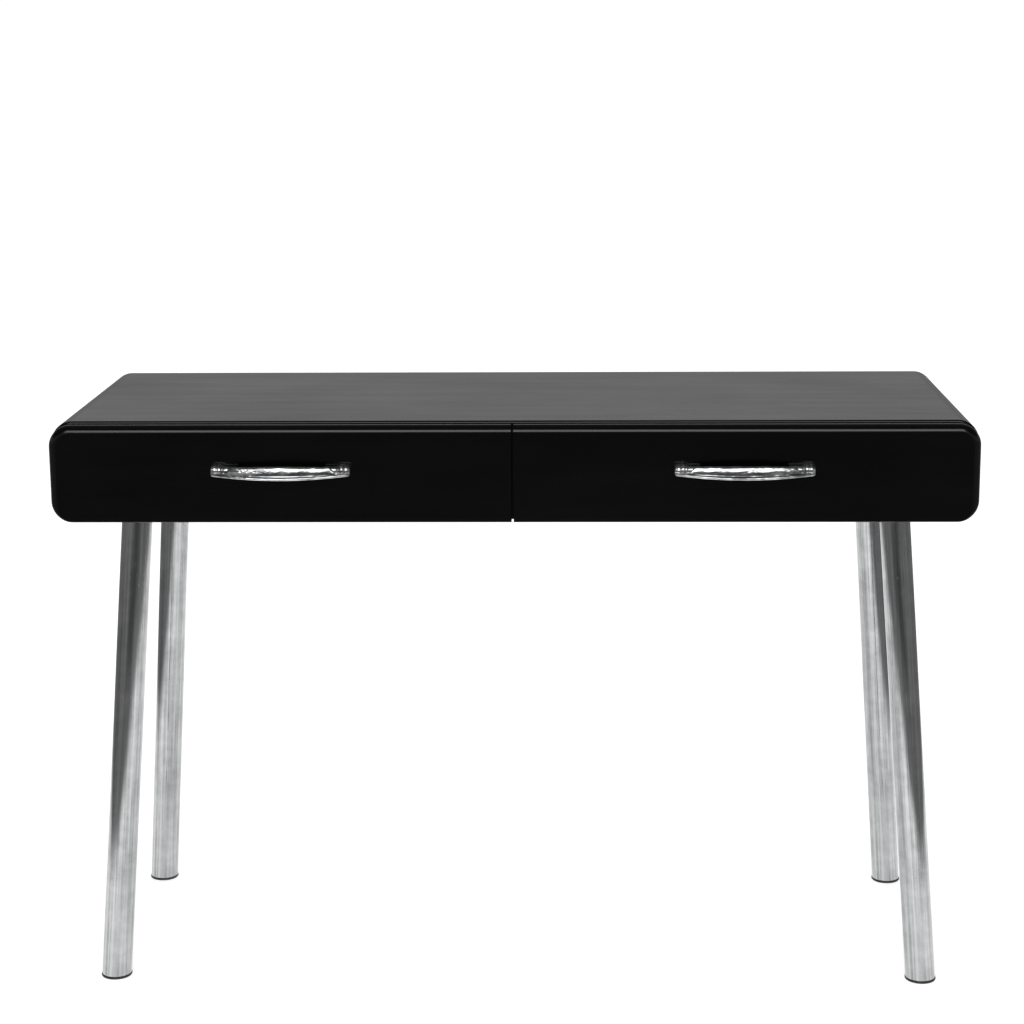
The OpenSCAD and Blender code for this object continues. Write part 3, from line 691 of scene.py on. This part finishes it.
def knuckle_profile():
    """A ringed knuckle and its neck as (out from the handle's middle, radius) pairs."""
    tip = (handle_high.x - handle_low.x) / 2
    profile = [(tip - KNUCKLE_R * 0.42 * (1 - math.cos(t)), max(KNUCKLE_R * 0.9 * math.sin(t), 0.0001))
               for t in (math.pi / 2 * i / 6 for i in range(7))]
    x = profile[-1][0]
    for width, share in KNUCKLE_RINGS:
        radius = KNUCKLE_R * share
        profile.append((x - 0.0004, radius * 0.84))
        profile += [(x - 0.0006 - (width - 0.0008) * (1 - math.cos(t)) / 2,
                     radius * (0.86 + 0.14 * math.sin(t)))
                    for t in (math.pi * i / 6 for i in range(7))]
        x -= width
    profile += [(x - 0.0004, NECK_R * 1.12), (x - 0.0016, NECK_R), (NECK_X - 0.006, NECK_R)]
    return profile


def handle(name, side):
    """A chromed bow with a beaded lower lip, between ringed knuckles on round feet."""
    middle = (handle_low.x + handle_high.x) / 2
    knuckle_z = handle_high.z - BOW_TOP_RISE + KNUCKLE_RISE - KNUCKLE_R
    knuckle_y = front_low.y - KNUCKLE_R + 0.0002
    shells = [bow_rings()]
    for end in (-1, 1):
        centre = (middle, knuckle_y, knuckle_z)
        shells.append(turned(knuckle_profile(), centre, (end, 0, 0)))
        centre = (middle + end * BOW_REACH, front_low.y, knuckle_z)
        shells.append(turned(HANDLE_FOOT, centre, (0, -1, 0)))
    parts = []
    for rings in shells:
        rings = [[Vector((side * p[0], p[1], p[2])) for p in ring] for ring in rings]
        parts.append(skinned(name + "_handle_finished", rings, chrome))
    piece = parts[0]
    for other in parts[1:]:
        union = piece.modifiers.new("union", "BOOLEAN")
        union.operation = "UNION"
        union.solver = "EXACT"
        union.object = other
        plain(piece)
        bpy.data.objects.remove(other)
    piece = shaded(piece, chrome, 38)
    settle(piece, name + "_drawer", "chrome", name + "_handle")


# ---------------------------------------------------------------- legs

def leg_line(node, side_x, side_y):
    """The axis of a leg: its centre at the tube's top and at its foot."""
    low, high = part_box(node)
    reach = LEG_R * LEVEL_CUT
    top = Vector((low.x + reach if side_x > 0 else high.x - reach,
                  high.y - reach if side_y < 0 else low.y + reach, high.z))
    foot = Vector((high.x - reach if side_x > 0 else low.x + reach,
                   low.y + reach if side_y < 0 else high.y - reach, low.z))
    return top, foot


def level_ring(top, foot, z, radius, steps=64):
    """A level section of a round bar along the leg's axis."""
    axis = (top - foot).normalized()
    across = Vector((0, 1, 0)).cross(axis).normalized()
    along = axis.cross(across)
    ring = []
    for i in range(steps):
        t = math.tau * i / steps
        point = foot + (across * math.cos(t) + along * math.sin(t)) * radius
        ring.append(point + axis * ((z - point.z) / axis.z))
    return ring


def legs():
    """Four tubes, their glides and their mounting plates."""
    tree = tube_tree()
    for name_y, side_y in (("front", -1), ("back", 1)):
        for name_x, side_x in SIDES:
            corner = f"{name_y}_{name_x}"
            top, foot = leg_line(corner + "_leg", side_x, side_y)
            settings = {"Top": top, "Foot": foot, "Outer Radius": LEG_R, "Wall": LEG_WALL,
                        "Rim": 0.0004, "Material": tube_chrome}
            tube = shaded(grown(corner + "_tube", tree, settings), tube_chrome)
            settle(tube, "case", "chrome", corner + "_leg")
            out = LEG_R + GLIDE_PROUD
            plug = LEG_R - LEG_WALL - 0.0001
            profile = [(0, out - 0.0022), (0.0004, out - 0.001), (0.0012, out - 0.0003), (0.002, out),
                       (glide_top_z - 0.0008, out), (glide_top_z, out - 0.0005), (glide_top_z, plug),
                       (glide_top_z + GLIDE_PLUG - 0.001, plug), (glide_top_z + GLIDE_PLUG, plug - 0.001)]
            rings = [level_ring(top, foot, z, r) for z, r in profile]
            glide = skinned(corner + "_glide", rings, black_plastic)
            settle(glide, "case", "black_plastic", corner + "_foot")
            plate = softened(corner + "_leg_plate", 0.0004, zinc)
            settle(plate, "case", "zinc", corner + "_leg_plate")


# ---------------------------------------------------------------- fasteners and runners

def screws(name, node, body, tree, facing, size):
    """Replaces a CAD node of screws. facing(box) gives the way that a screw's head looks."""
    boxes = loose_boxes(node)
    ways = [Vector(facing(box)) for box in boxes]
    points = []
    for (low, high), way in zip(boxes, ways):
        middle, half = (low + high) / 2, (high - low) / 2
        points.append(middle + Vector(map(lambda h, w: h * w, half, way)))
    low, high = boxes[0]
    spans = list(high - low)
    length = max(spans)
    head = min(spans) / 2
    settings = {"Head Radius": head, "Length": length, **size}
    piece = shaded(grown(name, tree, settings, points, ways), zinc, 30)
    settle(piece, body, "zinc", node)


def fasteners():
    """Every screw of the desk."""
    tree = screw_tree()
    wood = {"Head Height": 0.0016, "Shank Radius": 0.00175, "Recess Width": 0.0009,
            "Countersunk": False, "Seed": 3, "Material": zinc}
    sunk = {**wood, "Head Height": 0.002, "Countersunk": True, "Seed": 5}
    machine = {**wood, "Head Height": 0.0025, "Shank Radius": 0.002, "Recess Width": 0.0011, "Seed": 7}

    def from_wall(box):
        x = (box[0].x + box[1].x) / 2
        near_divider = abs(x) < case_high.x / 2
        return (math.copysign(1, x) * (1 if near_divider else -1), 0, 0)

    screws("back_screws", "back_panel_screws", "case", tree, lambda box: (0, 1, 0), sunk)
    screws("plate_screws", "leg_plate_screws", "case", tree, lambda box: (0, 0, -1), sunk)
    screws("runner_screws", "rail_screws", "case", tree, from_wall, wood)
    for name, _ in SIDES:
        body = name + "_drawer"
        screws(name + "_ledge_screws", name + "_slide_screws", body, tree, lambda box: (0, 0, -1), wood)
        screws(name + "_front_screws", name + "_handle_screws", body, tree, lambda box: (0, 1, 0), machine)


def small_metal():
    """The cams behind the fronts and the threaded inserts of the leg plates."""
    for name, _ in SIDES:
        settle(softened(name + "_front_cams", 0.0002, zinc), name + "_drawer", "zinc", name + "_front_cams")
    settle(softened("leg_stud_inserts", 0.0002, zinc), "case", "zinc", "leg_stud_inserts")


def runners():
    """Rails on the case, slides on the drawers, and their rollers."""
    for name, _ in SIDES:
        for wall in ("outer", "inner"):
            rail, slide = f"{name}_{wall}_rail", f"{name}_{wall}_slide"
            settle(softened(rail, 0.0002, rail_coat), "case", "rail_paint", rail)
            settle(softened(slide, 0.0002, rail_coat), name + "_drawer", "rail_paint", slide)
            for node in (rail + "_roller", slide + "_roller"):
                low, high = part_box(node)
                half, radius = (high.x - low.x) / 2, (high.z - low.z) / 2
                bore, edge, dish = 0.00255, 0.0005, 0.0006
                profile = [(-half, bore), (-half, radius * 0.5), (-half + dish, radius * 0.56),
                           (-half + dish, radius * 0.8), (-half, radius * 0.86), (-half, radius - edge),
                           (-half + edge, radius), (half - edge, radius), (half, radius - edge),
                           (half, radius * 0.86), (half - dish, radius * 0.8),
                           (half - dish, radius * 0.56), (half, radius * 0.5), (half, bore)]
                rings = turned(profile, (low + high) / 2, (1, 0, 0))
                roller = skinned(node + "_finished", rings, nylon, looped=True)
                settle(roller, node, "nylon", node)


# ---------------------------------------------------------------- studio

CAMERA_PLACE = (0.0915, -3.1903, 1.2814)
CAMERA_PITCH = 0.2157
CAMERA_YAW = -0.0308
CAMERA_ROLL = -0.007
FLOOR_HALF = 60.0
NEAR_GLOW = 0.66
FAR_GLOW = 0.95
PAPER_MIDDLE = (0, 0.5, 0)
PAPER_REACH = (1.33, 1.8, 1)
CLOTH_GLOW = 0.24
DARK_GLOW = 0.1
SCREEN_CORNERS = ((-12, -6), (12, -6), (12, 12), (-12, 12))
SCREEN_TOPS = (1.5, 1.5, 2.4, 2.4)
SKY_STOPS = ((0.0, 1.05), (0.03, 1.0), (0.12, 0.44), (0.26, 0.405), (0.34, 0.07), (1.0, 0.12))


def studio():
    """Camera, pale floor, soft lights and a graded surround."""
    scene = bpy.context.scene
    scene.view_settings.view_transform = "Standard"

    camera_data = bpy.data.cameras.new("camera")
    camera_data.sensor_width = 36.0
    camera_data.lens = 83.0
    camera_data.shift_x = -0.0004
    camera_data.shift_y = 0.0196
    camera = bpy.data.objects.new("camera", camera_data)
    scene.collection.objects.link(camera)
    pitch, yaw, roll = CAMERA_PITCH, CAMERA_YAW, CAMERA_ROLL
    ahead = Vector((math.sin(yaw) * math.cos(pitch), math.cos(yaw) * math.cos(pitch), -math.sin(pitch)))
    right = Vector((math.cos(yaw), -math.sin(yaw), 0))
    up = right.cross(ahead)
    right, up = right * math.cos(roll) + up * math.sin(roll), up * math.cos(roll) - right * math.sin(roll)
    facing = Matrix((right, up, -ahead)).transposed().to_4x4()
    camera.matrix_world = Matrix.Translation(CAMERA_PLACE) @ facing
    scene.camera = camera

    paper = bpy.data.materials.new("pale_paper")
    paper.use_nodes = True
    paper.node_tree.nodes.clear()
    nodes = Nodes(paper.node_tree)
    place = nodes.add("ShaderNodeTexCoord").outputs["Object"]
    fleck = nodes.noise(place, 260.0, 3.0)
    tone = nodes.blend(fleck, (0.86, 0.86, 0.86), (0.90, 0.90, 0.90))
    matt = nodes.add("ShaderNodeBsdfDiffuse", [("Color", tone)])
    far = nodes.spread(nodes.vector("LENGTH", place), 0.8, 5.0, NEAR_GLOW, FAR_GLOW)
    glow = nodes.add("ShaderNodeEmission", [("Color", (1, 1, 1, 1)), ("Strength", far)])
    both = nodes.add("ShaderNodeAddShader", [(0, matt.outputs[0]), (1, glow.outputs[0])])
    nodes.add("ShaderNodeOutputMaterial", [("Surface", both.outputs[0])])
    mesh = bpy.data.meshes.new("floor")
    mesh.from_pydata([(-FLOOR_HALF, -FLOOR_HALF, 0), (FLOOR_HALF, -FLOOR_HALF, 0),
                      (FLOOR_HALF, FLOOR_HALF, 0), (-FLOOR_HALF, FLOOR_HALF, 0)], [], [(0, 1, 2, 3)])
    mesh.materials.append(paper)
    floor = put_in_scene("floor", mesh)

    # Grey cloth round an oval of paper, and low screens round the cloth, seen only in reflections.
    # The middle of the front is near black.
    cloth = bpy.data.materials.new("dark_cloth")
    cloth.use_nodes = True
    cloth.node_tree.nodes.clear()
    nodes = Nodes(cloth.node_tree)
    place = nodes.add("ShaderNodeTexCoord").outputs["Object"]
    offset = nodes.vector("DIVIDE", nodes.vector("SUBTRACT", place, PAPER_MIDDLE), PAPER_REACH)
    share = nodes.spread(nodes.vector("LENGTH", offset), 0.97, 1.25, 0.0, 1.0)
    parts = nodes.add("ShaderNodeSeparateXYZ", [(0, place)]).outputs
    middle = nodes.spread(nodes.math("ABSOLUTE", parts["X"]), 1.6, 2.0, 1.0, 0.0)
    black = nodes.math("MULTIPLY", middle, nodes.spread(parts["Y"], -2.4, -2.9, 0.0, 1.0))
    tone = nodes.spread(black, 0.0, 1.0, CLOTH_GLOW, DARK_GLOW)
    dim = nodes.add("ShaderNodeEmission", [("Color", (1, 1, 1, 1)), ("Strength", tone)])
    clear = nodes.add("ShaderNodeBsdfTransparent")
    mixed = nodes.add("ShaderNodeMixShader", [(0, share), (1, clear.outputs[0]), (2, dim.outputs[0])])
    nodes.add("ShaderNodeOutputMaterial", [("Surface", mixed.outputs[0])])
    mesh = bpy.data.meshes.new("surround_cloth")
    points = [(x, y, 0.001) for x, y in SCREEN_CORNERS]
    points += [(x, y, top) for (x, y), top in zip(SCREEN_CORNERS, SCREEN_TOPS)]
    faces = [(0, 1, 2, 3)] + [(k, k + 4, (k + 1) % 4 + 4, (k + 1) % 4) for k in range(4)]
    mesh.from_pydata(points, [], faces)
    mesh.materials.append(cloth)
    surround = put_in_scene("surround_cloth", mesh)
    for ray in ("camera", "diffuse", "transmission", "volume_scatter", "shadow"):
        setattr(surround, "visible_" + ray, False)

    def softbox(name, place, target, size, radiance):
        light = bpy.data.lights.new(name, "AREA")
        light.shape = "RECTANGLE"
        light.size, light.size_y = size
        light.energy = radiance * size[0] * size[1] * math.pi
        lamp = bpy.data.objects.new(name, light)
        scene.collection.objects.link(lamp)
        lamp.location = place
        lamp.rotation_mode = "QUATERNION"
        lamp.rotation_quaternion = (Vector(target) - Vector(place)).to_track_quat("-Z", "Y")
        lamp.visible_camera = False
        return lamp

    softbox("front_softbox", (0.0, -3.3, 2.5), (0, 0, 0.5), (3.6, 1.7), 3.8)
    overhead = softbox("overhead_softbox", (0.0, 0.6, 4.2), (0, 0.2, 0), (4.5, 4.5), 1.4)
    overhead.visible_glossy = False

    world = bpy.data.worlds.new("surround")
    scene.world = world
    world.use_nodes = True
    tree = world.node_tree
    tree.nodes.clear()
    nodes = Nodes(tree)
    way = nodes.add("ShaderNodeTexCoord").outputs["Generated"]
    rise = nodes.add("ShaderNodeSeparateXYZ", [(0, way)]).outputs["Z"]
    ramp = nodes.add("ShaderNodeValToRGB", [("Fac", rise)])
    while len(ramp.color_ramp.elements) < len(SKY_STOPS):
        ramp.color_ramp.elements.new(0.5)
    for element, (position, value) in zip(ramp.color_ramp.elements, SKY_STOPS):
        element.position = position
        element.color = (value, value, value, 1)
    glow = nodes.add("ShaderNodeBackground", [("Color", ramp.outputs[0]), ("Strength", 1.0)])
    nodes.add("ShaderNodeOutputWorld", [("Surface", glow.outputs[0])])


studio()
case_shell()
case_inner_pieces()
for side_name, side_sign in SIDES:
    drawer_front(side_name, side_sign)
    drawer_box(side_name)
    handle(side_name, side_sign)
legs()
fasteners()
small_metal()
runners()
